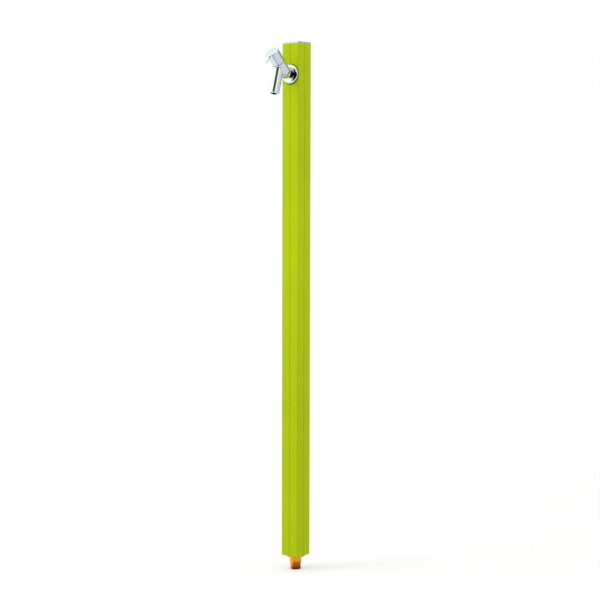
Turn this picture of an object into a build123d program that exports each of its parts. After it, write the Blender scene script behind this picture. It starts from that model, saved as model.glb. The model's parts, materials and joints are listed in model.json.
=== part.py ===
"""Garden standpipe: a slim square aluminium post with a quarter-turn tap near its top.

Frame: millimetres, +Z up. The origin is the middle of the inlet thread's mouth, on the post's
axis. The tap stands out of the post's front face, towards -Y.
"""
from build123d import *
from math import cos, radians, sin
import os

# Shared clearances and the overrun of every cut
overrun = 2.0
running_clearance = 0.05
seat_clearance = 0.1
loose_clearance = 0.3

# Post shell: a square extrusion with a shallow V groove down the middle of each face
shell_side = 47.0
shell_length = 1200.0
shell_wall = 2.2
shell_corner_radius = 2.5
groove_width = 3.4
groove_depth = 1.0

# Screw ports: round channels that run down the shell's four inner corners
port_outer_radius = 3.3
port_inset_share = 0.68
port_bore_radius = 1.7
port_mouth_width = 2.0

# Top cap: a flush plate with four locating tabs
cap_thickness = 3.5
cap_edge_chamfer = 0.5
cap_tab_gap = 2.8
cap_tab_wall = 2.0
cap_tab_depth = 8.0

# Cap screws: countersunk screws into the ports
cap_screw_length = 16.0
cap_screw_head_radius = 3.4
cap_screw_head_height = 1.8

# Cross recess of every countersunk screw
recess_width = 0.9
recess_depth = 1.0
recess_span_share = 0.55

# Inlet fitting: a cast bronze socket under the post
inlet_thread_radius = 9.316
inlet_thread_length = 16.0
inlet_nose_radius = 12.3
inlet_nose_height = 12.2
inlet_neck_height = 5.0
inlet_collar_radius = 14.0
inlet_collar_height = 13.5
inlet_flange_inset = 1.0
inlet_flange_height = 3.0
inlet_flange_edge = 0.6
inlet_shank_wall = 4.1
inlet_shank_height = 30.0
inlet_nose_chamfer = 0.8

# Riser pipe and the sockets it is glued into
pipe_outer_radius = 9.0
pipe_wall = 2.5
pipe_socket_depth = 16.0

# Base plug, lock nut and pipe spacers inside the shell
plug_height = 14.0
lock_nut_wall = 3.4
lock_nut_height = 8.0
spacer_height = 12.0
spacer_count = 3

# Tap: where its stem leaves the post
tap_drop = 71.0
tap_thread_radius = 10.478
tap_thread_length = 19.0
tap_hole_clearance = 1.2

# Faucet elbow inside the post
elbow_boss_wall = 3.5
elbow_socket_wall = 3.4
elbow_socket_reach = 34.0
elbow_water_radius = 6.0
elbow_seat_gap = 0.8
elbow_seat_margin = 4.5
elbow_seat_thickness = 4.0
elbow_seat_corner = 4.0
elbow_crown_rise = 1.0
elbow_crown_chamfer = 4.0

# Elbow screws, hidden under the wall flange
elbow_screw_offset = 17.0
elbow_screw_radius = 2.0
elbow_screw_length = 9.0
elbow_screw_head_radius = 3.6
elbow_screw_head_height = 1.6

# Wall flange: a thin pressed dome
flange_radius = 23.0
flange_height = 8.0
flange_rim_height = 1.0
flange_crown_step = 2.0
flange_sheet = 1.0
flange_bulge = 2.0

# Tap body: stem, round-ended barrel and spout in one casting
stem_shoulder = 1.522
stem_bore_radius = 6.0
body_reach = 27.6
body_rise = 6.5
body_top = 24.8
barrel_lean = 45.0
seat_port_step = 0.6
seat_level = 2.0
body_wall = 5.472
body_edge_chamfer = 0.4

# Spout
spout_level = 17.7
spout_lean = 16.5
spout_radius = 12.3
spout_start = 8.2
spout_joint = 45.9
spout_length = 69.9
spout_bore_radius = 6.4

# Spout tip, screwed into the spout's end and a little slimmer, so that a hose socket stops there
tip_step = 0.2
tip_shank_radius = 9.6
tip_shank_length = 9.0
tip_bore_radius = 6.0
tip_pocket_radius = 8.0
tip_pocket_depth = 9.0
tip_joint_gap = 0.4
tip_edge_chamfer = 0.8
tip_mouth_chamfer = 0.5
washer_thickness = 1.5
washer_bore_step = 0.2

# Flow straightener: a ring with crossed vanes
straightener_height = 7.0
straightener_wall = 1.0
straightener_vane = 0.8
straightener_vane_count = 3

# Ceramic cartridge, measured up the barrel's axis from the barrel's round end
seat_seal_inset = 0.25
seat_seal_width = 2.9
seat_seal_height = 2.0
fixed_disc_height = 4.0
moving_disc_height = 3.5
disc_port_inner_radius = 2.4
disc_port_rim = 1.45
disc_port_angle = 76.0
disc_lug_width = 3.0
disc_lug_reach = 0.75
disc_slot_width = 3.2
disc_slot_depth = 1.3
disc_film = 0.02

# Cartridge housing
housing_sleeve_inset = 1.178
housing_sleeve_wall = 0.95
housing_foot_gap = 0.4
housing_ceiling = 17.0
housing_window_gap = 0.28
housing_window_height = 3.6
housing_window_width = 11.0
housing_thread_radius = 10.478
housing_thread_length = 6.4
housing_hex_shoulder = 0.3
housing_hex_height = 6.0
housing_neck_wall = 2.2
housing_neck_height = 5.0
housing_gasket_thickness = 1.0
housing_gasket_width = 1.7

# Spindle
spindle_share = 0.6
spindle_blade_width = 5.0
spindle_collar_inset = 0.75
spindle_collar_height = 0.9
spindle_drive_step = 1.0
spindle_drive_cover = 5.4
spindle_flat_depth = 0.9
thrust_washer_thickness = 0.6
thrust_washer_inset = 0.55
spindle_seal_section = 0.78
spindle_seal_sides = 8
spindle_seal_rises = (3.5, 7.5)
spindle_groove_depth = 1.6
spindle_groove_width = 2.2
clip_thickness = 0.8
clip_overhang = 1.4
clip_groove_depth = 0.7
clip_opening_width = 4.0

# Handle: a cap-like cylinder that carries a pin lever
handle_gap = 0.5
handle_length = 31.0
handle_end_wall = 9.2
handle_wall = 2.4
handle_hub_wall = 3.0
handle_hub_gap = 1.2
handle_end_chamfer = 0.7
hub_bore_clearance = 0.06

# Lever pin and the grub screw opposite it
pin_drop = 4.6
pin_radius = 2.5
pin_tip_fillet = 0.8
pin_length = 17.0
pin_seat_depth = 1.5
pin_thread_radius = 2.0
pin_thread_cover = 1.34
grub_radius = 2.0
grub_length = 5.0
grub_rise = 4.2
grub_socket_flats = 2.0
grub_socket_depth = 2.0

# Radii and widths worked out from the sizes above
shell_half = shell_side / 2
shell_inner_half = shell_half - shell_wall
port_inset = port_outer_radius * port_inset_share
port_place = shell_inner_half - port_inset
port_edge = port_place - port_outer_radius
cap_screw_radius = port_bore_radius - seat_clearance
cap_tab_width = 2 * (port_edge - cap_tab_gap)
inlet_flange_radius = shell_half - inlet_flange_inset
pipe_bore_radius = pipe_outer_radius - pipe_wall
pipe_socket_radius = pipe_outer_radius + seat_clearance
inlet_shank_radius = pipe_socket_radius + inlet_shank_wall
lock_nut_flats = 2 * (inlet_shank_radius + lock_nut_wall)
elbow_boss_radius = tap_thread_radius + elbow_boss_wall
elbow_socket_radius = pipe_socket_radius + elbow_socket_wall
elbow_seat_width = 2 * (port_edge - elbow_seat_gap)
elbow_seat_height = 2 * (elbow_screw_offset + elbow_seat_margin)
stem_radius = tap_thread_radius + stem_shoulder
flange_crown_radius = stem_radius + flange_crown_step
chamber_radius = housing_thread_radius + running_clearance
barrel_radius = chamber_radius + body_wall
tip_radius = spout_radius - tip_step
washer_bore_radius = spout_bore_radius + washer_bore_step
housing_sleeve_radius = housing_thread_radius - housing_sleeve_inset
housing_bore_radius = housing_sleeve_radius - housing_sleeve_wall
housing_hex_flats = 2 * (housing_thread_radius + housing_hex_shoulder)
housing_gasket_radius = housing_thread_radius + housing_gasket_width
disc_radius = housing_bore_radius - seat_clearance
disc_port_outer_radius = disc_radius - disc_port_rim
seat_seal_outer_radius = housing_bore_radius - seat_seal_inset
seat_seal_bore_radius = seat_seal_outer_radius - seat_seal_width
seat_port_radius = seat_seal_bore_radius - seat_port_step
thrust_washer_radius = housing_bore_radius - thrust_washer_inset
spindle_collar_radius = housing_bore_radius - spindle_collar_inset
spindle_radius = housing_bore_radius * spindle_share
spindle_drive_radius = spindle_radius - spindle_drive_step
spindle_groove_floor = spindle_radius - spindle_groove_depth
clip_groove_floor = spindle_radius - clip_groove_depth
clip_outer_radius = spindle_radius + clip_overhang
housing_neck_radius = spindle_radius + housing_neck_wall
hub_bore_radius = spindle_drive_radius + hub_bore_clearance
handle_hub_radius = spindle_drive_radius + handle_hub_wall
handle_cavity_radius = barrel_radius - handle_wall
pin_reach = barrel_radius + pin_length
pin_shoulder = barrel_radius - pin_seat_depth
pin_thread_foot = hub_bore_radius + pin_thread_cover

# Levels worked out from the sizes above
base_level = inlet_nose_height + inlet_neck_height + inlet_collar_height + inlet_flange_height
top_level = base_level + shell_length
tap_level = top_level - tap_drop
plug_top = base_level + plug_height
shank_top = base_level + inlet_shank_height
elbow_mouth = tap_level - elbow_socket_reach
pipe_start = shank_top - pipe_socket_depth
pipe_end = elbow_mouth + pipe_socket_depth

fixed_disc_base = seat_level + seat_seal_height
moving_disc_base = fixed_disc_base + fixed_disc_height + disc_film
moving_disc_top = moving_disc_base + moving_disc_height
housing_window_base = moving_disc_top + housing_window_gap
collar_base = housing_ceiling - thrust_washer_thickness - seat_clearance - spindle_collar_height
spindle_seal_levels = [housing_ceiling + rise for rise in spindle_seal_rises]
hex_base = body_top + housing_gasket_thickness
housing_thread_base = hex_base - housing_thread_length
hex_top = hex_base + housing_hex_height
neck_top = hex_top + housing_neck_height
clip_base = neck_top + seat_clearance
drive_base = clip_base + clip_thickness + handle_hub_gap
handle_base = body_top + handle_gap
handle_end = handle_base + handle_length
drive_top = handle_end - spindle_drive_cover
pin_level = handle_end - pin_drop
grub_level = drive_base + grub_rise

# Frames of the tap: stem, barrel and spout
tap_origin = Vector(0, -shell_half, tap_level)
stem_frame = Plane(origin=tap_origin, x_dir=(1, 0, 0), z_dir=(0, -1, 0)).location
barrel_axis = Vector(0, -cos(radians(barrel_lean)), sin(radians(barrel_lean)))
barrel_origin = tap_origin + Vector(0, -body_reach, body_rise)
barrel_frame = Plane(origin=barrel_origin, x_dir=(1, 0, 0), z_dir=barrel_axis).location
spout_axis = Vector(0, -sin(radians(spout_lean)), -cos(radians(spout_lean)))
spout_origin = barrel_origin + barrel_axis * spout_level
spout_frame = Plane(origin=spout_origin, x_dir=(1, 0, 0), z_dir=spout_axis).location


def bar(radius, start, end):
    """A round bar on Z between two levels."""
    upright = (Align.CENTER, Align.CENTER, Align.MIN)
    return Pos(0, 0, start) * Cylinder(radius, end - start, align=upright)


def tube(outer_radius, inner_radius, start, end):
    """A round tube on Z between two levels."""
    return bar(outer_radius, start, end) - bar(inner_radius, start - overrun, end + overrun)


def hexagon(flats, start, end):
    """A hexagonal bar on Z, given across its flats."""
    outline = RegularPolygon(radius=flats / 2, side_count=6, major_radius=False)
    return Pos(0, 0, start) * extrude(outline, end - start)


def block(width, depth, start, end):
    """A rectangular bar on Z between two levels."""
    upright = (Align.CENTER, Align.CENTER, Align.MIN)
    return Pos(0, 0, start) * Box(width, depth, end - start, align=upright)


def at_ports(shape):
    """Four copies of a shape that stands on the post's axis, one over each screw port."""
    return [Rot(0, 0, 90 * turn) * Pos(port_place, port_place, 0) * shape for turn in range(4)]


def countersunk_screw(radius, length, head_radius, head_height):
    """A countersunk screw with a cross recess, pointing down, its head's face at level zero."""
    head = Pos(0, 0, -head_height) * Cone(
        radius, head_radius, head_height, align=(Align.CENTER, Align.CENTER, Align.MIN)
    )
    shank = bar(radius, -length, -head_height / 2)
    span = 2 * head_radius * recess_span_share
    recess = block(span, recess_width, -recess_depth, overrun)
    recess += block(recess_width, span, -recess_depth, overrun)
    return head + shank - recess


def countersink(radius, head_radius, head_height, depth):
    """The hole that takes a countersunk screw, its mouth at level zero."""
    cone = Pos(0, 0, -head_height) * Cone(
        radius + seat_clearance,
        head_radius + seat_clearance,
        head_height,
        align=(Align.CENTER, Align.CENTER, Align.MIN),
    )
    mouth = bar(head_radius + seat_clearance, 0, overrun)
    return cone + mouth + bar(radius + seat_clearance, -depth, 0)


def shell_outline():
    """The outer outline: a rounded square with a V groove in each side."""
    outline = RectangleRounded(shell_side, shell_side, shell_corner_radius)
    groove = Polygon(
        (-groove_width / 2, shell_half),
        (0, shell_half - groove_depth),
        (groove_width / 2, shell_half),
        (0, shell_half + groove_depth),
        align=None,
    )
    for turn in range(4):
        outline -= Rot(0, 0, 90 * turn) * groove
    return outline


def post_shell():
    """The lime post: a hollow extrusion with corner ports and the tap's hole at the front."""
    inside = Rectangle(2 * shell_inner_half, 2 * shell_inner_half)
    outline = shell_outline() - inside
    for port in at_ports(Circle(port_outer_radius)):
        outline += port & inside
    mouth = Rectangle(port_outer_radius + overrun, port_mouth_width, align=(Align.MAX, Align.CENTER))
    for channel in at_ports(Circle(port_bore_radius) + Rot(0, 0, 45) * mouth):
        outline -= channel
    shell = Pos(0, 0, base_level) * extrude(outline, shell_length)
    tap_hole = bar(tap_thread_radius + tap_hole_clearance, -shell_wall - overrun, overrun)
    shell -= stem_frame * tap_hole
    for side in (-1, 1):
        hole = countersink(
            elbow_screw_radius, elbow_screw_head_radius, elbow_screw_head_height, shell_wall + overrun
        )
        shell -= stem_frame * Pos(0, side * elbow_screw_offset, 0) * hole
    return shell


def top_cap():
    """The silver cap: a plate flush with the shell, four tabs inside it and four screw holes."""
    plate = extrude(RectangleRounded(shell_side, shell_side, shell_corner_radius), cap_thickness)
    plate = chamfer(plate.edges().group_by(Axis.Z)[-1], cap_edge_chamfer)
    tab_place = shell_inner_half - seat_clearance - cap_tab_wall / 2
    for turn in range(4):
        tab = block(cap_tab_width, cap_tab_wall, -cap_tab_depth, 0)
        plate += Rot(0, 0, 90 * turn) * Pos(0, tab_place, 0) * tab
    hole = countersink(
        cap_screw_radius, cap_screw_head_radius, cap_screw_head_height, cap_thickness + overrun
    )
    for placed in at_ports(Pos(0, 0, cap_thickness) * hole):
        plate -= placed
    return Pos(0, 0, top_level) * plate


def cap_screws():
    """Four countersunk screws that hold the cap."""
    screw = countersunk_screw(
        cap_screw_radius, cap_screw_length, cap_screw_head_radius, cap_screw_head_height
    )
    return at_ports(Pos(0, 0, top_level + cap_thickness) * screw)


def inlet_fitting():
    """The bronze inlet: threaded nose, collar, flange under the post and shank inside it."""
    collar_base = inlet_nose_height + inlet_neck_height
    flange_base = collar_base + inlet_collar_height
    fitting = bar(inlet_nose_radius, 0, inlet_nose_height)
    fitting += Pos(0, 0, inlet_nose_height) * Cone(
        inlet_nose_radius,
        inlet_collar_radius,
        inlet_neck_height,
        align=(Align.CENTER, Align.CENTER, Align.MIN),
    )
    fitting += bar(inlet_collar_radius, collar_base, flange_base)
    flange = bar(inlet_flange_radius, flange_base, base_level)
    fitting += chamfer(flange.edges().group_by(Axis.Z)[0], inlet_flange_edge)
    fitting += bar(inlet_shank_radius, base_level, shank_top)
    fitting -= bar(inlet_thread_radius, -overrun, inlet_thread_length)
    fitting -= bar(pipe_bore_radius, 0, shank_top)
    fitting -= bar(pipe_socket_radius, pipe_start, shank_top + overrun)
    rim = fitting.edges().filter_by(GeomType.CIRCLE).group_by(Axis.Z)[0].sort_by(SortBy.RADIUS)[-1]
    return chamfer(rim, inlet_nose_chamfer)


def inner_block(start, end, hole_radius):
    """A square block that fills the shell between the ports, with a round hole."""
    side = 2 * (shell_inner_half - seat_clearance)
    outline = Rectangle(side, side) - Circle(hole_radius)
    notch_half = port_outer_radius + loose_clearance
    notch = Pos(-notch_half, -notch_half) * Rectangle(
        2 * notch_half + port_inset, 2 * notch_half + port_inset, align=(Align.MIN, Align.MIN)
    )
    for corner in at_ports(notch):
        outline -= corner
    return Pos(0, 0, start) * extrude(outline, end - start)


def base_plug():
    """The moulded plug in the shell's lower end."""
    return inner_block(base_level, plug_top, inlet_shank_radius + seat_clearance)


def lock_nut():
    """The nut that clamps the plug onto the inlet fitting's flange."""
    nut = hexagon(lock_nut_flats, plug_top, plug_top + lock_nut_height)
    return nut - bar(inlet_shank_radius + running_clearance, plug_top - overrun, shank_top)


def riser_pipe():
    """The water pipe from the inlet fitting up to the faucet elbow."""
    return tube(pipe_outer_radius, pipe_bore_radius, pipe_start, pipe_end)


def pipe_spacers():
    """Foam blocks that keep the pipe in the middle of the shell."""
    step = (elbow_mouth - shank_top) / (spacer_count + 1)
    levels = [shank_top + step * (number + 1) for number in range(spacer_count)]
    half = spacer_height / 2
    return [inner_block(level - half, level + half, pipe_socket_radius) for level in levels]


def faucet_elbow():
    """The bronze elbow: threaded boss with its seat plate on the shell's front wall."""
    seat_face = -shell_wall
    axis_level = -shell_half
    boss = bar(elbow_boss_radius, axis_level, seat_face)
    seat_outline = RectangleRounded(elbow_seat_width, elbow_seat_height, elbow_seat_corner)
    seat = Pos(0, 0, seat_face - elbow_seat_thickness) * extrude(seat_outline, elbow_seat_thickness)
    turned = stem_frame * (boss + seat)
    leg = bar(elbow_socket_radius, elbow_mouth, tap_level + elbow_boss_radius + elbow_crown_rise)
    leg = chamfer(leg.edges().group_by(Axis.Z)[-1], elbow_crown_chamfer)
    elbow = turned + leg
    thread = bar(tap_thread_radius + running_clearance, seat_face - tap_thread_length, seat_face + overrun)
    water = bar(elbow_water_radius, axis_level, seat_face)
    elbow -= stem_frame * (thread + water)
    elbow -= bar(pipe_bore_radius, elbow_mouth, tap_level + pipe_bore_radius)
    elbow -= bar(pipe_socket_radius, elbow_mouth - overrun, pipe_end)
    for side in (-1, 1):
        hole = bar(elbow_screw_radius + running_clearance, seat_face - 2 * elbow_seat_thickness, overrun)
        elbow -= stem_frame * Pos(0, side * elbow_screw_offset, 0) * hole
    return elbow


def elbow_screws():
    """Two countersunk screws that hold the elbow behind the shell's front wall."""
    screw = countersunk_screw(
        elbow_screw_radius, elbow_screw_length, elbow_screw_head_radius, elbow_screw_head_height
    )
    return [stem_frame * Pos(0, side * elbow_screw_offset, 0) * screw for side in (-1, 1)]


def wall_flange():
    """The pressed dome that covers the tap's hole."""
    def dome(rim, crown, height, rim_height):
        middle = ((rim + crown) / 2 + flange_bulge / 2, (height + rim_height) / 2 + flange_bulge)
        curve = ThreePointArc((rim, rim_height), middle, (crown, height))
        sides = Polyline((crown, height), (0, height), (0, 0), (rim, 0), (rim, rim_height))
        return make_face(Plane.XZ * (curve + sides))

    outer = revolve(dome(flange_radius, flange_crown_radius, flange_height, flange_rim_height), Axis.Z)
    inner = revolve(
        dome(
            flange_radius - flange_sheet,
            flange_crown_radius - flange_sheet / 2,
            flange_height - flange_sheet,
            flange_rim_height - flange_sheet / 2,
        ),
        Axis.Z,
    )
    hole = bar(tap_thread_radius + running_clearance, -overrun, flange_height + overrun)
    return stem_frame * (outer - inner - hole)


def tap_body():
    """The chromed casting: threaded stem, barrel and spout, with its water ways bored out."""
    stem = bar(stem_radius, flange_height, body_reach)
    thread = bar(tap_thread_radius, -shell_wall - tap_thread_length, flange_height)
    body = stem_frame * (stem + thread)
    barrel = bar(barrel_radius, 0, body_top)
    barrel = chamfer(barrel.edges().group_by(Axis.Z)[-1], body_edge_chamfer)
    body += barrel_frame * (barrel + Sphere(barrel_radius))
    body += spout_frame * bar(spout_radius, spout_start, spout_joint)

    # the stem's bore ends where the barrel's axis crosses it
    crossing = body_reach - body_rise / sin(radians(barrel_lean)) * cos(radians(barrel_lean))
    port_foot = -body_rise / sin(radians(barrel_lean))
    body -= stem_frame * bar(stem_bore_radius, -shell_wall - tap_thread_length - overrun, crossing)
    body -= barrel_frame * bar(seat_port_radius, port_foot, seat_level + overrun)
    body -= barrel_frame * bar(chamber_radius, seat_level, body_top + overrun)
    body -= spout_frame * bar(spout_bore_radius, 0, spout_joint + overrun)
    pocket_top = spout_joint - tip_shank_length - washer_thickness
    body -= spout_frame * bar(tip_shank_radius + running_clearance, pocket_top, spout_joint + overrun)
    return body


def seat_seal():
    """The rubber ring between the casting's seat and the fixed disc."""
    return barrel_frame * tube(
        seat_seal_outer_radius, seat_seal_bore_radius, seat_level, seat_level + seat_seal_height
    )


def disc_port():
    """One sector-shaped port, open towards +X."""
    half = radians(disc_port_angle / 2)
    inner = disc_port_inner_radius
    outer = disc_port_outer_radius
    near = (inner * cos(half), inner * sin(half))
    far = (outer * cos(half), outer * sin(half))
    edges = Line(near, far)
    edges += ThreePointArc(far, (outer, 0), (far[0], -far[1]))
    edges += Line((far[0], -far[1]), (near[0], -near[1]))
    edges += ThreePointArc((near[0], -near[1]), (inner, 0), near)
    return make_face(edges)


def fixed_disc():
    """The lower ceramic disc: two ports at the sides and two lugs that stop it turning."""
    outline = Circle(disc_radius)
    reach = 2 * (disc_radius + disc_lug_reach)
    outline += Rectangle(disc_lug_width, reach)
    for turn in (0, 180):
        outline -= Rot(0, 0, turn) * disc_port()
    return barrel_frame * Pos(0, 0, fixed_disc_base) * extrude(outline, fixed_disc_height)


def moving_disc():
    """The upper ceramic disc, shut at rest: its ports stand a quarter turn from the lower ones."""
    outline = Circle(disc_radius)
    for turn in (90, 270):
        outline -= Rot(0, 0, turn) * disc_port()
    disc = Pos(0, 0, moving_disc_base) * extrude(outline, moving_disc_height)
    slot_floor = moving_disc_top - disc_slot_depth
    slot = block(2 * disc_radius + overrun, disc_slot_width, slot_floor, moving_disc_top + overrun)
    return barrel_frame * (disc - slot)


def cartridge_housing():
    """The brass headwork: slotted sleeve, thread, hexagon and neck round the spindle."""
    foot = seat_level + housing_foot_gap
    housing = bar(housing_sleeve_radius, foot, housing_thread_base)
    housing += bar(housing_thread_radius, housing_thread_base, hex_base)
    housing += hexagon(housing_hex_flats, hex_base, hex_top)
    housing += bar(housing_neck_radius, hex_top, neck_top)
    housing -= bar(housing_bore_radius, foot - overrun, housing_ceiling)
    housing -= bar(spindle_radius + running_clearance, housing_ceiling - overrun, neck_top + overrun)
    window_top = housing_window_base + housing_window_height
    across = 2 * (housing_sleeve_radius + overrun)
    housing -= block(across, housing_window_width, housing_window_base, window_top)
    notch_top = fixed_disc_base + fixed_disc_height + disc_film
    notch_width = disc_lug_width + 2 * running_clearance
    housing -= block(notch_width, across, foot - overrun, notch_top)
    return barrel_frame * housing


def housing_gasket():
    """The fibre ring between the casting's rim and the housing's hexagon."""
    return barrel_frame * tube(
        housing_gasket_radius, housing_thread_radius + running_clearance, body_top, hex_base
    )


def spindle():
    """The brass spindle: blade in the disc's slot, collar, seal grooves and flatted drive end."""
    tongue_base = moving_disc_top - disc_slot_depth + seat_clearance
    tongue_width = disc_slot_width - 2 * running_clearance
    blade_base = moving_disc_top + seat_clearance
    shaft = block(2 * spindle_collar_radius, tongue_width, tongue_base, blade_base)
    shaft += block(2 * spindle_collar_radius, spindle_blade_width, blade_base, collar_base)
    shaft = shaft & bar(spindle_collar_radius, tongue_base, collar_base)
    shaft += bar(spindle_collar_radius, collar_base, collar_base + spindle_collar_height)
    shaft += bar(spindle_radius, collar_base, drive_base)
    shaft += bar(spindle_drive_radius, drive_base, drive_top)
    for level in spindle_seal_levels:
        half = spindle_groove_width / 2
        shaft -= tube(spindle_radius + overrun, spindle_groove_floor, level - half, level + half)
    clip_top = clip_base + clip_thickness
    shaft -= tube(
        spindle_radius + overrun,
        clip_groove_floor,
        clip_base - running_clearance,
        clip_top + running_clearance,
    )
    flat_place = spindle_drive_radius - spindle_flat_depth + overrun
    flat = Pos(0, flat_place, 0) * block(2 * spindle_radius, 2 * overrun, drive_base, drive_top + overrun)
    return barrel_frame * (shaft - flat)


def thrust_washer():
    """The slippery ring between the spindle's collar and the housing's ceiling."""
    base = housing_ceiling - thrust_washer_thickness
    bore_radius = spindle_radius + running_clearance
    return barrel_frame * tube(thrust_washer_radius, bore_radius, base, housing_ceiling)


def spindle_o_rings():
    """Two rubber rings in the spindle's grooves."""
    centre_radius = spindle_groove_floor + spindle_seal_section + running_clearance / 2
    section = Pos(centre_radius, 0) * RegularPolygon(spindle_seal_section, spindle_seal_sides)
    ring = revolve(Plane.XZ * section, Axis.Z)
    return [barrel_frame * Pos(0, 0, level) * ring for level in spindle_seal_levels]


def spindle_clip():
    """The spring clip that keeps the spindle up in its housing."""
    bore_radius = clip_groove_floor + running_clearance
    ring = tube(clip_outer_radius, bore_radius, clip_base, clip_base + clip_thickness)
    reach = clip_outer_radius + overrun
    opening = Pos(0, reach / 2, 0) * block(clip_opening_width, reach, clip_base - overrun, drive_base)
    return barrel_frame * (ring - opening)


def handle_shell():
    """The chromed handle: a deep cap with a hub for the spindle and seats for pin and screw."""
    shell = bar(barrel_radius, handle_base, handle_end)
    shell = chamfer(shell.edges().group_by(Axis.Z)[-1], handle_end_chamfer)
    cavity_top = handle_end - handle_end_wall
    hub_base = drive_base + seat_clearance
    shell -= bar(handle_cavity_radius, handle_base - overrun, cavity_top)
    shell += bar(handle_hub_radius, hub_base, cavity_top)
    bore = bar(hub_bore_radius, hub_base - overrun, drive_top + seat_clearance)
    flat_place = hub_bore_radius - spindle_flat_depth + overrun
    shell -= bore - Pos(0, flat_place, 0) * block(
        2 * spindle_radius, 2 * overrun, hub_base - overrun, drive_top + overrun
    )
    towards_pin = Pos(0, 0, pin_level) * Rot(90, 0, 0)
    shell -= towards_pin * bar(pin_radius + running_clearance, pin_shoulder, barrel_radius + overrun)
    shell -= towards_pin * bar(pin_thread_radius + running_clearance, pin_thread_foot, barrel_radius)
    towards_grub = Pos(0, 0, grub_level) * Rot(-90, 0, 0)
    shell -= towards_grub * bar(grub_radius + running_clearance, 0, barrel_radius + overrun)
    return barrel_frame * shell


def lever_pin():
    """The pin lever: a round pin with a threaded root, pointing out and down at rest."""
    pin = bar(pin_radius, pin_shoulder, pin_reach)
    pin = fillet(pin.edges().group_by(Axis.Z)[-1], pin_tip_fillet)
    pin += bar(pin_thread_radius, pin_thread_foot + seat_clearance, pin_shoulder)
    return barrel_frame * Pos(0, 0, pin_level) * Rot(90, 0, 0) * pin


def handle_screw():
    """The grub screw that locks the handle on the spindle's flat."""
    foot = spindle_drive_radius - spindle_flat_depth + running_clearance
    head = foot + grub_length
    screw = bar(grub_radius, foot, head)
    screw -= hexagon(grub_socket_flats, head - grub_socket_depth, head + overrun)
    return barrel_frame * Pos(0, 0, grub_level) * Rot(-90, 0, 0) * screw


def spout_tip():
    """The removable end of the spout, with a threaded shank and a pocket for the straightener."""
    barrel = bar(tip_radius, spout_joint + tip_joint_gap, spout_length)
    barrel = chamfer(barrel.edges().group_by(Axis.Z)[-1], tip_edge_chamfer)
    shank_top = spout_joint - tip_shank_length
    tip = barrel + bar(tip_shank_radius, shank_top, spout_joint + tip_joint_gap)
    tip -= bar(tip_bore_radius, shank_top - overrun, spout_length + overrun)
    tip -= bar(tip_pocket_radius, shank_top - overrun, shank_top + tip_pocket_depth)
    mouth = Pos(0, 0, spout_length - tip_mouth_chamfer) * Cone(
        tip_bore_radius,
        tip_bore_radius + tip_mouth_chamfer,
        tip_mouth_chamfer,
        align=(Align.CENTER, Align.CENTER, Align.MIN),
    )
    return spout_frame * (tip - mouth)


def tip_washer():
    """The rubber washer between the spout's step and the tip's shank."""
    top = spout_joint - tip_shank_length - washer_thickness
    return spout_frame * tube(tip_shank_radius, washer_bore_radius, top, top + washer_thickness)


def flow_straightener():
    """The moulded insert that calms the water: a ring with crossed vanes."""
    start = spout_joint - tip_shank_length + tip_pocket_depth - straightener_height
    end = start + straightener_height
    radius = tip_pocket_radius - seat_clearance
    ring = tube(radius, radius - straightener_wall, start, end)
    for number in range(straightener_vane_count):
        span = 2 * radius - straightener_wall
        vane = block(span, straightener_vane, start, end)
        ring += Rot(0, 0, 180 / straightener_vane_count * number) * vane
    return spout_frame * ring


def main():
    makers = [
        post_shell, top_cap, cap_screws, inlet_fitting, base_plug, lock_nut, riser_pipe, pipe_spacers,
        faucet_elbow, elbow_screws, wall_flange, tap_body, seat_seal, fixed_disc, moving_disc,
        cartridge_housing, housing_gasket, spindle, thrust_washer, spindle_o_rings, spindle_clip,
        handle_shell, lever_pin, handle_screw, spout_tip, tip_washer, flow_straightener,
    ]
    os.makedirs("parts", exist_ok=True)
    for maker in makers:
        shape = maker()
        if isinstance(shape, list):
            shape = Compound([one.solid() for one in shape])
        shape.label = maker.__name__
        export_step(shape, f"parts/{maker.__name__}.step")


main()
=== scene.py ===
"""The looks of a garden standpipe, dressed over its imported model.

Lengths are in metres, +Z is up, and the tap stands out towards -Y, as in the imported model.
"""
import json
import math

import bmesh
import bpy
from mathutils import Matrix, Vector
from mathutils.geometry import intersect_line_line, intersect_point_line


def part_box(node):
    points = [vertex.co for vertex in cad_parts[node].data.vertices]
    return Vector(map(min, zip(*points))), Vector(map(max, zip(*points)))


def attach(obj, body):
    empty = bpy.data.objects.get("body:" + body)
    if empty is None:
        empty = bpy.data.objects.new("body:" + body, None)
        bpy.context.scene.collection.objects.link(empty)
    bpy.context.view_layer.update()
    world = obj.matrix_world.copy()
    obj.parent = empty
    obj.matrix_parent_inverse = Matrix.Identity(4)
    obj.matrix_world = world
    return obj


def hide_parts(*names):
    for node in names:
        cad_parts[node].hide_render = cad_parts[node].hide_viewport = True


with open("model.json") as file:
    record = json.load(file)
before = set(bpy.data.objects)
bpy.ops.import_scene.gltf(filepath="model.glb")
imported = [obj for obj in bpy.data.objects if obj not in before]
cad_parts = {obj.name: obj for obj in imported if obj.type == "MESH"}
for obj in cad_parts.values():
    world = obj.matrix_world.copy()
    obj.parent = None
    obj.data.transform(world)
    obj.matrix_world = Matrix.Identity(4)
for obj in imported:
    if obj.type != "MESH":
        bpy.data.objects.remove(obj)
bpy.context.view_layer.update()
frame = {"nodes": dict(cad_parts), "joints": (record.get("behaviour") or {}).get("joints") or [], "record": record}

nodes = frame["nodes"]


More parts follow.
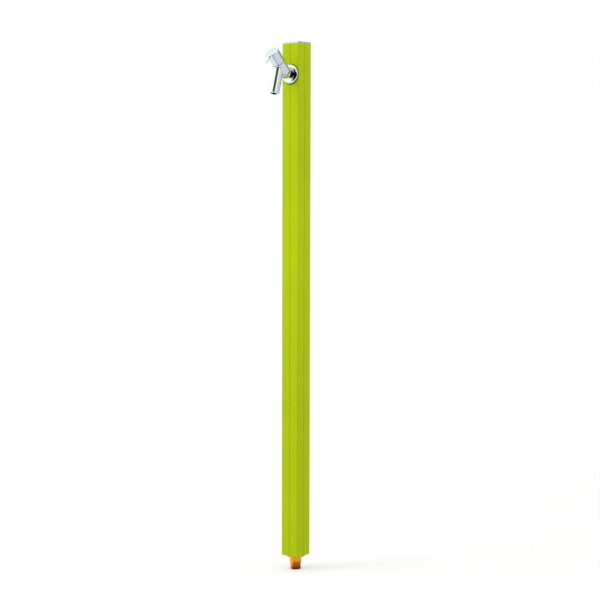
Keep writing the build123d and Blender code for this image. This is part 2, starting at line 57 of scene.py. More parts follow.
# Post shell. An aluminium extrusion with a V groove down each face, powder-coated in lime green.
# The coat has the dimpled skin of sprayed powder. Painted shade darkens the grooves and the crisp
# corners, the coat darkens towards the ground and a painted shadow lies round the tap's wall flange.
class Wire:
    """A socket's output, which adds and multiplies like a number."""

    def __init__(self, recipe, socket):
        self.recipe = recipe
        self.socket = socket

    def maths(self, operation, *others):
        values = dict(enumerate((self, *others)))
        return self.recipe.plug("ShaderNodeMath", {"operation": operation}, values)

    def __add__(self, other):
        return self.maths("ADD", other)

    def __mul__(self, other):
        return self.maths("MULTIPLY", other)

    def __sub__(self, other):
        return self.maths("SUBTRACT", other)

    def __rsub__(self, other):
        return self * -1 + other

    def __abs__(self):
        return self.maths("ABSOLUTE")

    __radd__ = __add__
    __rmul__ = __mul__

    def step(self, start, end):
        """0 below start, 1 above end and a soft rise between them. With start over end it falls."""
        values = {"Value": self, "From Min": start, "From Max": end}
        return self.recipe.plug("ShaderNodeMapRange", {"interpolation_type": "SMOOTHSTEP"}, values)

    def other(self, name):
        """Another output of the same node."""
        return Wire(self.recipe, self.socket.node.outputs[name])


class Recipe:
    """A node tree that grows by plug(), which adds a node and returns one of its outputs."""

    def __init__(self, tree):
        self.tree = tree

    def plug(self, kind, settings=None, inputs=None, output=0):
        node = self.tree.nodes.new(kind)
        for name, value in (settings or {}).items():
            setattr(node, name, value)
        self.feed(node, inputs or {})
        return Wire(self, node.outputs[output])

    def feed(self, node, inputs):
        for name, value in inputs.items():
            socket = node.inputs[name]
            if isinstance(value, Wire):
                self.tree.links.new(value.socket, socket)
            elif socket.type == "RGBA":
                socket.default_value = (*value, 1)
            else:
                socket.default_value = value

    def tint(self, share, low, high):
        """A colour from low to high, by a share from 0 to 1."""
        values = {0: share, 6: low, 7: high}
        return self.plug("ShaderNodeMix", {"data_type": "RGBA"}, values, output=2)

    def vectors(self, operation, *values, output=0):
        return self.plug("ShaderNodeVectorMath", {"operation": operation}, dict(enumerate(values)), output)


class Finish(Recipe):
    """The material of one kind of surface, laid out on a piece's Object coordinates."""

    def __init__(self, name):
        self.material = bpy.data.materials.new(name)
        self.material.use_nodes = True
        super().__init__(self.material.node_tree)
        self.place = self.plug("ShaderNodeTexCoord", output="Object")
        self.x = self.plug("ShaderNodeSeparateXYZ", inputs={"Vector": self.place})
        self.y, self.z = self.x.other("Y"), self.x.other("Z")

    def noise(self, scale, detail=2.0, stretch=(1, 1, 1)):
        place = self.plug("ShaderNodeMapping", inputs={"Vector": self.place, "Scale": stretch})
        return self.plug("ShaderNodeTexNoise", inputs={"Vector": place, "Scale": scale, "Detail": detail})

    def relief(self, height, depth, strength=1.0):
        values = {"Height": height, "Distance": depth, "Strength": strength}
        return self.plug("ShaderNodeBump", inputs=values)

    def surface(self, **values):
        """Fills the shader's sockets, whose names are written with _ for each space."""
        shader = self.tree.nodes["Principled BSDF"]
        self.feed(shader, {name.replace("_", " "): value for name, value in values.items()})

    def on(self, *names):
        """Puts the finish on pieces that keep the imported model's shape."""
        for name in names:
            nodes[name].material_slots[0].material = self.material


def ready(piece, finish, body, slot, *replaced):
    """Gives a new piece its finish, the body that it rides on and the nodes that it stands for."""
    piece.data.materials.clear()
    piece.data.materials.append(finish.material)
    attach(piece, body)
    if replaced:
        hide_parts(*replaced)


def crisper(name, node):
    """A copy of a square piece with a smaller round on its four upright corners."""
    mesh = nodes[node].data.copy()
    normals = [corner.vector.copy() for corner in mesh.corner_normals]
    middle, shift = shell_half - solid_round, solid_round - corner_round
    for vertex in mesh.vertices:
        out = Vector((abs(vertex.co.x) - middle, abs(vertex.co.y) - middle))
        if min(out) > -tolerance and out.length > shift:
            out = out * (1 - shift / out.length)
            vertex.co.x = math.copysign(middle + shift + out.x, vertex.co.x)
            vertex.co.y = math.copysign(middle + shift + out.y, vertex.co.y)
    mesh.normals_split_custom_set(normals)
    piece = bpy.data.objects.new(name, mesh)
    bpy.context.scene.collection.objects.link(piece)
    return piece


shell_low, shell_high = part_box("post_shell")
shell_half = shell_high.x
solid_round, corner_round = 0.0025, 0.0008
tolerance = 0.000001
groove_half, groove_reach = 0.0019, 0.0022
corner_width = 0.0012
foot_level, clean_level = 0.05, 0.80
# Shares of painted shade in the grooves and on the corners, and of the darkening towards the ground.
groove_shade, corner_shade, foot_darkening = 0.35, 0.6, 0.18
wall_flange_low, wall_flange_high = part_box("wall_flange")
tap_level = (wall_flange_low.z + wall_flange_high.z) / 2
# Place and size of the painted shadow on the post round the tap's wall flange.
flange_shadow_shift, flange_shadow_drop = 0.0009, 0.0006
flange_shadow_solid, flange_shadow_end = wall_flange_high.x + 0.0006, wall_flange_high.x + 0.0018
flange_shadow_thinning = 4
fresh_lime, deep_lime = (0.480, 0.622, 0.003), (0.445, 0.582, 0.002)
# The lime in painted shade, and the dark green of the painted shadow round the flange.
shaded_lime, flange_shadow_green = (0.330, 0.415, 0.002), (0.090, 0.110, 0.008)

lime = Finish("lime powder coat")
side, depth = abs(lime.x), abs(lime.y)
groove_floor = shell_half - groove_reach
front_groove = side.step(groove_half, groove_half / 2) * depth.step(groove_floor, shell_half)
side_groove = depth.step(groove_half, groove_half / 2) * side.step(groove_floor, shell_half)
corner_start = shell_half - corner_width
corner = side.step(corner_start, shell_half) * depth.step(corner_start, shell_half)
lower_darkening = lime.z.step(clean_level, foot_level) * foot_darkening
# Painted shade: the grooves and corners go towards the shaded lime, and so does the coat near the ground.
shade_and_foot_darkening = (front_groove + side_groove) * groove_shade + corner.step(0.0, 0.5) * corner_shade + lower_darkening
# Painted shadow: a dark ring on the post just outside the wall flange, shifted right and down.
aside, above = lime.x - flange_shadow_shift, lime.z - (tap_level - flange_shadow_drop)
behind = (lime.y + shell_half) * flange_shadow_thinning
spread = (aside * aside + above * above + behind * behind).maths("SQRT")
painted_flange_shadow = spread.step(flange_shadow_end, flange_shadow_solid)
cloud = lime.noise(scale=9.0, detail=3.0)
dimples = lime.noise(scale=900.0, detail=1.0)
coat = lime.tint(cloud.step(0.3, 0.7), fresh_lime, deep_lime)
lime.surface(
    Base_Color=lime.tint(painted_flange_shadow, lime.tint(shade_and_foot_darkening, coat, shaded_lime), flange_shadow_green),
    Roughness=0.36 + dimples * 0.12,
    Specular_IOR_Level=0.07,
    Normal=lime.relief(dimples, depth=0.00005, strength=0.8),
)
shell = crisper("post_shell_crisp", "post_shell")
ready(shell, lime, "standpipe", "lime_paint", "post_shell")


# Inlet fitting. A bronze socket cast and turned, with a pipe thread inside its nose. Its flange
# sits under the post and its shank takes the riser pipe. The metal darkens towards the open end.
def rounded(outline, steps=4):
    """The points of a closed outline of (radius, level, rounding) corners."""
    points = []
    for place, (radius, level, rounding) in enumerate(outline):
        corner = Vector((radius, level))
        if not rounding:
            points.append(corner)
            continue
        before = (Vector(outline[place - 1][:2]) - corner).normalized()
        after = (Vector(outline[(place + 1) % len(outline)][:2]) - corner).normalized()
        half = before.angle(after) / 2
        middle = corner + (before + after).normalized() * rounding / math.sin(half)
        start = corner + before * rounding / math.tan(half) - middle
        turn = start.angle_signed(corner + after * rounding / math.tan(half) - middle)
        points += [middle + Matrix.Rotation(-turn * step / steps, 2) @ start for step in range(steps + 1)]
    return points


def turned(name, outline, sides=96):
    """A ring-shaped piece turned about the Z axis from a closed outline."""
    profile = rounded(outline)
    work = bmesh.new()
    rings = []
    for number in range(sides):
        angle = math.tau * number / sides
        rings.append([work.verts.new((r * math.cos(angle), r * math.sin(angle), z)) for r, z in profile])
    for number in range(sides):
        here, there = rings[number - 1], rings[number]
        for place in range(len(profile)):
            work.faces.new((here[place - 1], there[place - 1], there[place], here[place]))
    return settled(name, work)


def settled(name, work, crease=32.0):
    """Makes an object of finished bmesh work, smooth but for its edges."""
    bmesh.ops.recalc_face_normals(work, faces=work.faces)
    for face in work.faces:
        face.smooth = True
    for edge in work.edges:
        edge.smooth = len(edge.link_faces) == 2 and edge.calc_face_angle() < math.radians(crease)
    mesh = bpy.data.meshes.new(name)
    work.to_mesh(mesh)
    work.free()
    piece = bpy.data.objects.new(name, mesh)
    bpy.context.scene.collection.objects.link(piece)
    return piece


inlet_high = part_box("inlet_fitting")[1]
flange_radius = inlet_high.x
nose_radius, nose_height = 0.0123, 0.0097
neck_height, neck_sweep = 0.0095, 0.045
collar_radius, collar_height = 0.014, 0.0115
shank_radius = 0.0132
thread_root, thread_crest, thread_length = 0.010478, 0.009316, 0.016
water_radius = 0.0065
socket_radius, socket_depth = 0.0091, 0.016
break_edge = 0.0005
collar_foot = nose_height + neck_height
flange_foot = collar_foot + collar_height
fitting = turned("inlet_fitting_turned", [
    (thread_root + break_edge, 0, break_edge / 2),
    (nose_radius, 0, 2 * break_edge),
    (nose_radius, nose_height, neck_sweep),
    (collar_radius, collar_foot, neck_sweep),
    (collar_radius, flange_foot, 2 * break_edge),
    (flange_radius, flange_foot, break_edge),
    (flange_radius, shell_low.z, break_edge),
    (shank_radius, shell_low.z, 0),
    (shank_radius, inlet_high.z, break_edge),
    (socket_radius, inlet_high.z, break_edge),
    (socket_radius, inlet_high.z - socket_depth, 0),
    (water_radius, inlet_high.z - socket_depth, break_edge),
    (water_radius, thread_length, break_edge),
    (thread_root, thread_length, 0),
    (thread_root, break_edge, 0),
])

bright_bronze, ruddy_bronze, dark_bronze = (0.86, 0.30, 0.028), (0.76, 0.23, 0.018), (0.42, 0.066, 0.008)
darkening_start, darkening_full, darkening_share = 0.015, 0.002, 0.85
bronze = Finish("turned bronze")
blotch = bronze.noise(scale=140.0, detail=4.0)
cutter_lines = bronze.noise(scale=300.0, stretch=(0.02, 0.02, 12))
# The colour goes darker towards the open end.
end_darkening = bronze.z.step(darkening_start, darkening_full) * darkening_share
clean = bronze.tint(blotch.step(0.35, 0.7), bright_bronze, ruddy_bronze)
bronze.surface(
    Base_Color=bronze.tint(end_darkening, clean, dark_bronze),
    Metallic=1.0,
    Roughness=0.16 + blotch * 0.14,
    Normal=bronze.relief(cutter_lines, depth=0.00002, strength=0.4),
)
ready(fitting, bronze, "standpipe", "bronze_casting", "inlet_fitting")


def grown(name, sizes, build):
    """Runs a geometry tree with named sizes once, and keeps what it makes as a plain piece."""
    tree = bpy.data.node_groups.new(name, "GeometryNodeTree")
    tree.interface.new_socket("Geometry", in_out="OUTPUT", socket_type="NodeSocketGeometry")
    kinds = {float: "NodeSocketFloat", int: "NodeSocketInt", bpy.types.Material: "NodeSocketMaterial"}
    marks = {
        label: tree.interface.new_socket(label, in_out="INPUT", socket_type=kinds[type(value)]).identifier
        for label, value in sizes.items()
    }
    recipe = Recipe(tree)
    start = tree.nodes.new("NodeGroupInput")
    result = build(recipe, {label: Wire(recipe, start.outputs[label]) for label in sizes})
    end = tree.nodes.new("NodeGroupOutput")
    tree.links.new(result.socket, end.inputs[0])
    piece = bpy.data.objects.new(name, bpy.data.meshes.new(name))
    bpy.context.scene.collection.objects.link(piece)
    modifier = piece.modifiers.new(name, "NODES")
    modifier.node_group = tree
    for label, value in sizes.items():
        modifier[marks[label]] = value
    made = bpy.data.meshes.new_from_object(piece.evaluated_get(bpy.context.evaluated_depsgraph_get()))
    piece.modifiers.clear()
    piece.data = made
    return piece


def thread_ridge(recipe, size):
    """A helical ridge of triangular section on the wall of a bore, with its crest inwards."""
    spiral = recipe.plug("GeometryNodeCurveSpiral", inputs={
        "Resolution": size["Steps a turn"],
        "Rotations": size["Turns"],
        "Start Radius": size["Root radius"],
        "End Radius": size["Root radius"],
        "Height": size["Turns"] * size["Pitch"],
    })
    upright = recipe.plug("GeometryNodeSetCurveNormal", {"mode": "Z_UP"}, {"Curve": spiral})
    section = recipe.plug("GeometryNodeCurvePrimitiveCircle", inputs={
        "Resolution": 3, "Radius": size["Depth"],
    })
    ridge = recipe.plug("GeometryNodeCurveToMesh", inputs={
        "Curve": upright, "Profile Curve": section, "Fill Caps": True,
    })
    rise = recipe.plug("ShaderNodeCombineXYZ", inputs={"Z": size["Start level"]})
    placed = recipe.plug("GeometryNodeSetPosition", inputs={"Geometry": ridge, "Offset": rise})
    whole = recipe.plug("GeometryNodeRealizeInstances", inputs={"Geometry": placed})
    return recipe.plug("GeometryNodeSetMaterial", inputs={"Geometry": whole, "Material": size["Metal"]})


thread_pitch, thread_turns, turn_steps = 0.001814, 7.0, 48
thread = grown("inlet_thread_ridge", {
    "Root radius": thread_root,
    "Depth": thread_root - thread_crest,
    "Pitch": thread_pitch,
    "Start level": thread_pitch,
    "Turns": thread_turns,
    "Steps a turn": turn_steps,
    "Metal": bronze.material,
}, thread_ridge)
ready(thread, bronze, "standpipe", "bronze_casting")

# Base plug. A black moulding that closes the shell's lower end round the fitting's shank.
# It carries the faint grain of its mould.
deep_black, worn_black = (0.010, 0.010, 0.011), (0.022, 0.022, 0.023)
moulding = Finish("moulded plug")
grain = moulding.noise(scale=1200.0)
moulding.surface(
    Base_Color=moulding.tint(grain, deep_black, worn_black),
    Roughness=0.45 + grain * 0.2,
    Normal=moulding.relief(grain, depth=0.00003, strength=0.4),
)
moulding.on("base_plug")

# Lock nut. A machined brass hexagon that clamps the plug onto the fitting's flange.
# Fine turning lines run round it, and the brass has begun to stain.
bright_brass, stained_brass = (0.80, 0.58, 0.24), (0.68, 0.46, 0.17)
brass = Finish("machined brass")
turning = brass.noise(scale=900.0, stretch=(0.2, 0.2, 3))
stain = brass.noise(scale=90.0, detail=3.0)
brass.surface(
    Base_Color=brass.tint(stain.step(0.3, 0.7), bright_brass, stained_brass),
    Metallic=1.0,
    Roughness=0.18 + turning * 0.18,
    Normal=brass.relief(turning, depth=0.00001, strength=0.5),
)
brass.on("lock_nut")

# Riser pipe. A grey-blue plastic water pipe, extruded, with faint draw lines along it.
# It is pushed into the inlet fitting at the bottom and the faucet elbow at the top.
dark_pipe, light_pipe = (0.016, 0.022, 0.034), (0.024, 0.032, 0.048)
pipe = Finish("extruded pipe")
draw_lines = pipe.noise(scale=700.0, stretch=(1, 1, 0.01))
pipe.surface(
    Base_Color=pipe.tint(draw_lines, dark_pipe, light_pipe),
    Roughness=0.34 + draw_lines * 0.14,
    Normal=pipe.relief(draw_lines, depth=0.00001, strength=0.4),
)
pipe.on("riser_pipe")

# Pipe spacers. Blocks cut from closed-cell white foam, which shows the open halves of its cells.
# They are pushed over the pipe and hold it in the shell's middle.
cell_shade, foam_white = (0.62, 0.62, 0.60), (0.80, 0.80, 0.77)
foam = Finish("white foam")
cells = foam.plug("ShaderNodeTexVoronoi", inputs={"Vector": foam.place, "Scale": 420.0})
foam.surface(
    Base_Color=foam.tint(cells.step(0.0, 0.5), cell_shade, foam_white),
    Roughness=0.8,
    Normal=foam.relief(cells, depth=0.0003, strength=0.6),
)
foam.on("pipe_spacers")

# Faucet elbow. A bronze sand casting with the grain of its mould left on the outside.
# It sits behind the shell's front wall and takes the tap's thread.
bright_cast, dull_cast = (0.70, 0.40, 0.15), (0.52, 0.27, 0.09)
cast = Finish("cast bronze")
sand = cast.noise(scale=800.0, detail=4.0)
patch = cast.noise(scale=60.0, detail=3.0)
cast.surface(
    Base_Color=cast.tint(patch.step(0.3, 0.7), bright_cast, dull_cast),
    Metallic=1.0,
    Roughness=0.42 + sand * 0.2,
    Normal=cast.relief(sand, depth=0.00012, strength=0.7),
)
cast.on("faucet_elbow")

# Screws and spring clip. Stainless steel, rolled and stamped. Four screws hold the cap, two hold
# the elbow, a grub screw locks the handle and the clip keeps the spindle up.
grey_steel, bright_steel = (0.58, 0.58, 0.59), (0.68, 0.68, 0.69)
steel = Finish("stainless steel")
mill_grain = steel.noise(scale=1500.0, detail=3.0)
steel.surface(
    Base_Color=steel.tint(mill_grain, grey_steel, bright_steel),
    Metallic=1.0,
    Roughness=0.22 + mill_grain * 0.14,
    Normal=steel.relief(mill_grain, depth=0.00001, strength=0.5),
)
steel.on("cap_screws", "elbow_screws", "handle_screw", "spindle_clip")

# Top cap. A thin plate of silver-anodised aluminium, flush with the shell and brushed along X.
# The anodising gives it a soft, slightly blue sheen. Its corners are as crisp as the shell's.
cool_silver, pale_silver = (0.61, 0.63, 0.71), (0.66, 0.68, 0.76)
silver = Finish("silver anodised")
brushing = silver.noise(scale=60.0, detail=4.0, stretch=(0.6, 40, 40))
silver.surface(
    Base_Color=silver.tint(brushing, cool_silver, pale_silver),
    Metallic=1.0,
    Roughness=0.16 + brushing * 0.08,
    Normal=silver.relief(brushing, depth=0.00001, strength=0.5),
)
cap = crisper("top_cap_crisp", "top_cap")
ready(cap, silver, "standpipe", "silver_cap", "top_cap")

# Wall flange. A dome pressed from brass sheet and chromed, pushed over the tap's stem. All the
# chrome on the tap is the same bright plating, with a faint haze and a few dried water spots. Painted
# shade darkens it round and inside the spout's mouth, and a painted shadow darkens the joint under the handle.
hinge = frame["joints"][0]
barrel_foot, barrel_axis = Vector(hinge["pos_m"]), Vector(hinge["axis"])
nose = next(mount for mount in frame["record"]["mounts"] if mount["name"] == "spout_nose")
spout_end, spout_axis = Vector(nose["pos_m"]), Vector(nose["axis"])
# Sizes of the painted shade at the spout's mouth and of the painted shadow in the handle's joint.
mouth_radius, mouth_edge = 0.0074, 0.0078
mouth_depth, mouth_end = 0.020, 0.022
handle_points = [spot.co - barrel_foot for spot in nodes["handle_shell"].data.vertices]
joint_level = min(point.dot(barrel_axis) for point in handle_points)
seam_half, seam_edge, seam_shadow_share = 0.0005, 0.0009, 0.85
# Clear and hazy plating, and the black of the painted shade and shadow.
clear_chrome, hazy_chrome, shade_black = (0.72, 0.745, 0.76), (0.76, 0.78, 0.79), (0.02, 0.02, 0.02)

chrome = Finish("chrome plate")
from_end = chrome.vectors("SUBTRACT", chrome.place, spout_end)
along = chrome.vectors("DOT_PRODUCT", from_end, spout_axis, output="Value")
off_axis = chrome.vectors("LENGTH", chrome.vectors("CROSS_PRODUCT", from_end, spout_axis), output="Value")
# Painted shade round and inside the spout's mouth.
painted_mouth_shade = off_axis.step(mouth_edge, mouth_radius) * along.step(-mouth_end, -mouth_depth)
from_foot = chrome.vectors("SUBTRACT", chrome.place, barrel_foot)
level = chrome.vectors("DOT_PRODUCT", from_foot, barrel_axis, output="Value")
# Painted shadow in the joint under the handle.
painted_seam_shadow = abs(level - joint_level).step(seam_edge, seam_half) * seam_shadow_share
painted_shade = painted_mouth_shade.maths("MAXIMUM", painted_seam_shadow)
haze = chrome.noise(scale=70.0, detail=3.0)
spots = chrome.plug("ShaderNodeTexVoronoi", inputs={"Vector": chrome.place, "Scale": 130.0})
dried = spots.step(0.16, 0.10) * haze.step(0.52, 0.60)
chrome.surface(
    Base_Color=chrome.tint(painted_shade, chrome.tint(haze, clear_chrome, hazy_chrome), shade_black),
    Metallic=1.0,
    Roughness=0.045 + haze * 0.04 + dried * 0.05 + painted_shade * 0.4,
    Normal=chrome.relief(haze, depth=0.00002, strength=0.2),
)
chrome.on("wall_flange")


# Tap body. One brass casting, polished and chromed: a stem with a rounded end, a barrel at 45
# degrees and a spout. Where they run into each other the casting has small fillets, which are
# rolled out here by a ball that touches both bars.
def lift(bar, place):
    """The nearest point of a bar's core to a place, and the unit vector from there to the place.

    A bar is given by its core's start and end and by its radius.
    """
    start, end, radius = bar
    foot, share = intersect_point_line(place, start, end)
    if share < 0:
        foot = start
    elif share > 1:
        foot = end
    return foot, (place - foot).normalized()


def rolled(first, second, ball, near, stride=0.0007, tries=60, fewest=8):
    """The ball's centres, and its directions from both bars, once round the place where they meet.

    It settles against both bars from near, a rough place beside them, and then goes on by strides.
    """
    closed = stride * 0.7
    path = []
    centre = near
    while len(path) < fewest or (centre - path[0][0]).length > closed:
        for bar in (first, second) * tries:
            foot, away = lift(bar, centre)
            centre = foot + away * (bar[2] + ball)
        sides = [lift(bar, centre)[1] for bar in (first, second)]
        path.append((centre, *sides))
        centre = centre + sides[0].cross(sides[1]).normalized() * stride
    return path


def fillet(work, first, second, ball, near, steps=12, tail=0.0004, sink=0.00005, depth=1.35):
    """Adds the closed strip of metal that fills the corner between two bars up to the ball.

    A thin tail runs out on each bar and sinks into it, and the strip's back lies depth balls down.
    """
    sections = []
    for centre, up_first, up_second in rolled(first, second, ball, near):
        lean = up_first.dot(up_second)
        middle = (up_first + up_second).normalized()
        corner = centre - middle * (ball * depth / middle.dot(up_first))
        out_first = (up_second - up_first * lean).normalized()
        out_second = (up_first - up_second * lean).normalized()
        arc = [centre - up_first.slerp(up_second, step / steps) * ball for step in range(steps + 1)]
        outline = [
            arc[0] + out_first * tail - up_first * sink, *arc,
            arc[-1] + out_second * tail - up_second * sink, corner,
        ]
        sections.append([work.verts.new(point) for point in outline])
    for number, there in enumerate(sections):
        here = sections[number - 1]
        for place in range(len(there)):
            work.faces.new((here[place - 1], there[place - 1], there[place], here[place]))


barrel_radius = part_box("handle_shell")[1].x
barrel_length = 0.0248
spout_radius, stem_radius = 0.0123, 0.0120
corner_ball, fork_ball = 0.0020, 0.0015
barrel_top = barrel_foot + barrel_axis * barrel_length
spout_start = intersect_line_line(barrel_foot, barrel_top, spout_end, spout_end - spout_axis)[0]
stem_start = Vector((0, wall_flange_low.y, tap_level))
stem_end = Vector((0, barrel_foot.y, tap_level))
barrel = (barrel_foot, barrel_top, barrel_radius)
spout = (spout_start, spout_end, spout_radius)
stem = (stem_start, stem_end, stem_radius)
meetings = (
    (barrel, spout, corner_ball, spout_start + Vector((0.014, 0, -0.012))),
    (barrel, stem, corner_ball, stem_end + Vector((0.014, 0.004, 0))),
    (spout, stem, fork_ball, stem_end + Vector((0.004, -0.006, -0.013))),
)

work = bmesh.new()
for first, second, ball, near in meetings:
    fillet(work, first, second, ball, near)
bmesh.ops.create_uvsphere(
    work, u_segments=64, v_segments=32, radius=stem_radius, matrix=Matrix.Translation(stem_end)
)
fillets = settled("tap_body_fillets", work)
chrome.on("tap_body")
ready(fillets, chrome, "standpipe", "chrome_plate")

# Seals. Black moulded rubber: the seat ring under the fixed disc, the two rings on the spindle
# and the washer in the spout.
rubber_black, bloom_grey = (0.006, 0.006, 0.006), (0.016, 0.016, 0.017)
rubber = Finish("black rubber")
bloom = rubber.noise(scale=500.0, detail=3.0)
rubber.surface(
    Base_Color=rubber.tint(bloom, rubber_black, bloom_grey),
    Roughness=0.5 + bloom * 0.2,
    Normal=rubber.relief(bloom, depth=0.00003, strength=0.4),
)
rubber.on("seat_seal", "spindle_o_rings", "tip_washer")

# Ceramic discs. Two plates of white alumina, pressed, fired and lapped flat. The upper one turns
# on the lower one with the spindle, and so opens and shuts the ports.
ivory, alumina_white = (0.76, 0.74, 0.68), (0.82, 0.80, 0.75)
ceramic = Finish("lapped ceramic")
speck = ceramic.noise(scale=1600.0)
ceramic.surface(
    Base_Color=ceramic.tint(speck, ivory, alumina_white),
    Roughness=0.10 + speck * 0.08,
    Normal=ceramic.relief(speck, depth=0.000005, strength=0.4),
)
ceramic.on("fixed_disc", "moving_disc")

# Cartridge housing and spindle. Turned brass like the lock nut. The housing screws into the
# barrel over the discs, and the spindle's tongue sits in the upper disc's slot.
brass.on("cartridge_housing", "spindle")

# Housing gasket. A ring stamped from red fibre sheet, with its short fibres showing.
# It seals the housing's hexagon against the barrel's end.
dark_fibre, light_fibre = (0.15, 0.020, 0.010), (0.28, 0.045, 0.022)
fibre = Finish("red fibre")
strands = fibre.noise(scale=700.0, detail=4.0, stretch=(1, 1, 5))
fibre.surface(
    Base_Color=fibre.tint(strands, dark_fibre, light_fibre),
    Roughness=0.7,
    Normal=fibre.relief(strands, depth=0.00005, strength=0.6),
)
fibre.on("housing_gasket")

# White mouldings. The slippery washer over the spindle's collar, and the vanes in the spout's
# tip that calm the water.
soft_white, clear_white = (0.70, 0.70, 0.67), (0.78, 0.78, 0.75)
moulded = Finish("white moulding")
flow = moulded.noise(scale=300.0, detail=3.0)
moulded.surface(
    Base_Color=moulded.tint(flow, soft_white, clear_white),
    Roughness=0.30 + flow * 0.15,
    Normal=moulded.relief(flow, depth=0.00001, strength=0.4),
)
moulded.on("thrust_washer", "flow_straightener")

# Handle. A chromed cylinder with a closed end, held on the spindle's flat by a grub screw, with
# a turned pin screwed into its side to turn it by.
chrome.on("handle_shell", "lever_pin")

# Spout tip. The spout's removable end, turned from brass and chromed. It screws up into the
# casting below a fine joint.
chrome.on("spout_tip")


# Camera. It stands where the photograph was taken from, about 3.5 m away and a little below
# the tap, with a long lens.
picture_width = 600
focal_pixels = 1498.16
sensor_width = 36.0
camera_distance = 3.50733
camera_azimuth = 0.674161
camera_rise = 0.837497
off_centre = 0.00259071
yaw = camera_azimuth - off_centre
pitch = -0.0662993
roll = 0.0025027

camera_data = bpy.data.cameras.new("camera")
camera_data.sensor_width = sensor_width
camera_data.lens = focal_pixels * sensor_width / picture_width
camera = bpy.data.objects.new("camera", camera_data)
bpy.context.scene.collection.objects.link(camera)
level_right = Vector((math.cos(yaw), math.sin(yaw), 0))
ahead = Vector((-math.sin(yaw) * math.cos(pitch), math.cos(yaw) * math.cos(pitch), math.sin(pitch)))
level_up = level_right.cross(ahead)
right = level_right * math.cos(roll) + level_up * math.sin(roll)
up = right.cross(ahead)
camera.matrix_world = Matrix.Translation((
    camera_distance * math.sin(camera_azimuth),
    -camera_distance * math.cos(camera_azimuth),
    shell_low.z + camera_rise,
)) @ Matrix((right, up, -ahead)).transposed().to_4x4()
bpy.context.scene.camera = camera


# Studio. A white room, greyer on the right, with a dark screen round the camera and dark flags
# beside and behind the post. Only the metal sees them. The camera sees white, and matt surfaces
# get an even soft light.
def rising(angle, start, end):
    """A step between two angles in degrees."""
    return angle.step(math.radians(start), math.radians(end))


def screen(middle, half_width, level, half_height, edge):
    """A rounded screen about an azimuth, from -Y towards +X, and an elevation, all in degrees."""
    wide = (azimuth - math.radians(middle)) * (1 / math.radians(half_width))
    high = (elevation - math.radians(level)) * (1 / math.radians(half_height))
    return (wide * wide + high * high).step(1 + edge, 1 - edge)


def softbox(name, place, size, power, colour):
    """A square lamp that looks at the post's middle."""
    lamp = bpy.data.lights.new(name, "AREA")
    lamp.shape = "SQUARE"
    lamp.size = size
    lamp.energy = power
    lamp.color = colour
    holder = bpy.data.objects.new(name, lamp)
    turn = (Vector(place) - post_middle).to_track_quat("Z", "Y").to_matrix().to_4x4()
    holder.matrix_world = Matrix.Translation(place) @ turn
    holder.visible_glossy = False
    bpy.context.scene.collection.objects.link(holder)


white_wall, mint_wall, grey_wall = (1.30, 1.34, 1.24), (1.03, 1.15, 1.15), (0.79, 0.84, 0.91)
screen_black, screen_grey = (0.004, 0.005, 0.004), (0.075, 0.085, 0.07)
soft_light, pure_white = (0.84, 0.84, 0.84), (1, 1, 1)
side_flag_share = 0.42

sky = bpy.data.worlds.new("studio")
bpy.context.scene.world = sky
sky.use_nodes = True
room = Recipe(sky.node_tree)
look = room.plug("ShaderNodeSeparateXYZ", inputs={
    "Vector": room.plug("ShaderNodeTexCoord", output="Generated"),
})
azimuth = look.maths("ARCTAN2", look.other("Y") * -1)
elevation = look.other("Z").maths("ARCSINE")
upright = rising(elevation, -14, -2) * rising(elevation, 50, 38)
left_side = rising(azimuth, -45, -70) * (1 - upright)
right_side = rising(azimuth, 66, 92) * rising(elevation, 62, 40)
grey_screen = screen(middle=28, half_width=33, level=8, half_height=44, edge=0.3)
black_screen = screen(middle=38, half_width=58, level=-8, half_height=32, edge=0.1)
side_flag = rising(azimuth, 128, 136) * rising(elevation, 3, 6) * side_flag_share
back_flag = rising(abs(azimuth), 158, 166)
walls = room.tint(right_side, room.tint(left_side, white_wall, mint_wall), grey_wall)
walls = room.tint(grey_screen, walls, screen_grey)
walls = room.tint(black_screen, walls, screen_black)
walls = room.tint(side_flag, walls, screen_grey)
walls = room.tint(back_flag, walls, screen_grey)
to_camera = room.plug("ShaderNodeLightPath", output="Is Camera Ray")
mirrored = to_camera.other("Is Glossy Ray").maths("MAXIMUM", to_camera.other("Is Transmission Ray"))
seen = room.tint(to_camera, room.tint(mirrored, soft_light, walls), pure_white)
room.feed(sky.node_tree.nodes["Background"], {"Color": seen, "Strength": 1.0})

post_middle = Vector((0, 0, (shell_low.z + shell_high.z) / 2))
softbox("key_light", place=(-1.9, -2.3, 2.3), size=1.6, power=31.0, colour=pure_white)
softbox("fill_light", place=(2.6, 0.4, 1.8), size=1.4, power=2.8, colour=(1, 0.86, 0.86))
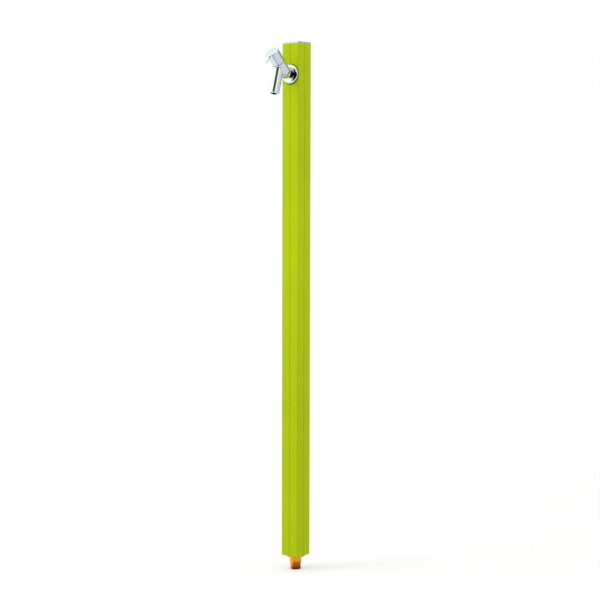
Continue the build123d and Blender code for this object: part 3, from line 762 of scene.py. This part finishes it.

# Floor. A pale round of painted board under the post. The camera sees it as white, with the
# post's shadow on it. For the metal it glows with a painted reflection: two tones split by a dark
# streak, a white patch on the lit side, a painted shadow close to the inlet and a dark zone in front.
floor_radius, floor_sides = 1.7, 96
# Sizes of the painted reflection that the metal sees.
reflection_split, split_edge = 0.43, 0.01
streak_half, streak_core = 0.11, 0.066
lit_near, lit_far = 0.2, 0.3
shadow_reach = 0.09
front_dark_start, front_dark_full = 0.95, 1.05
reflected_mint, contact_shade = (0.92, 1.04, 1.05), (0.12, 0.06, 0.04)
board_grey, board_white = (0.80, 0.80, 0.80), (0.82, 0.82, 0.82)
black, camera_glow = (0, 0, 0), (0.25, 0.25, 0.25)

work = bmesh.new()
bmesh.ops.create_circle(work, cap_ends=True, radius=floor_radius, segments=floor_sides)
floor_mesh = bpy.data.meshes.new("floor")
work.to_mesh(floor_mesh)
work.free()
floor = bpy.data.objects.new("floor", floor_mesh)
bpy.context.scene.collection.objects.link(floor)

pale = Finish("pale floor")
to_camera = pale.plug("ShaderNodeLightPath", output="Is Camera Ray")
glossy = to_camera.other("Is Glossy Ray")
grit = pale.noise(scale=40.0, detail=3.0)
reach = pale.vectors("LENGTH", pale.place, output="Value")
heading = pale.x.maths("ARCTAN2", pale.y * -1)
# Painted reflection for the metal: two tones with a dark streak between them, a white patch on the lit side, a
# painted shadow round the inlet and a dark zone far in front.
painted_halves = pale.tint(pale.x.step(reflection_split - split_edge, reflection_split + split_edge), reflected_mint, grey_wall)
painted_streak = abs(pale.x - reflection_split).step(streak_half, streak_core)
lit_side = rising(heading, -8, -28) * reach.step(lit_far, lit_near)
shadow = reach.step(shadow_reach, 0.0) * (1 - lit_side)
painted_front_dark = rising(heading, -22, -6) * rising(heading, 84, 66) * reach.step(front_dark_start, front_dark_full)
painted_reflection = pale.tint(lit_side, pale.tint(painted_streak, painted_halves, screen_grey), white_wall)
painted_reflection = pale.tint(shadow, painted_reflection, contact_shade)
painted_reflection = pale.tint(painted_front_dark, painted_reflection, screen_black)
pale.surface(
    Base_Color=pale.tint(glossy, pale.tint(grit, board_grey, board_white), black),
    Roughness=0.9,
    Specular_IOR_Level=0.0,
    # The floor glows with the painted reflection for the metal, and up to white for the camera.
    Emission_Color=pale.tint(glossy, pale.tint(to_camera, black, camera_glow), painted_reflection),
    Emission_Strength=1.0,
)
floor_mesh.materials.append(pale.material)

bpy.context.scene.view_settings.view_transform = "Standard"
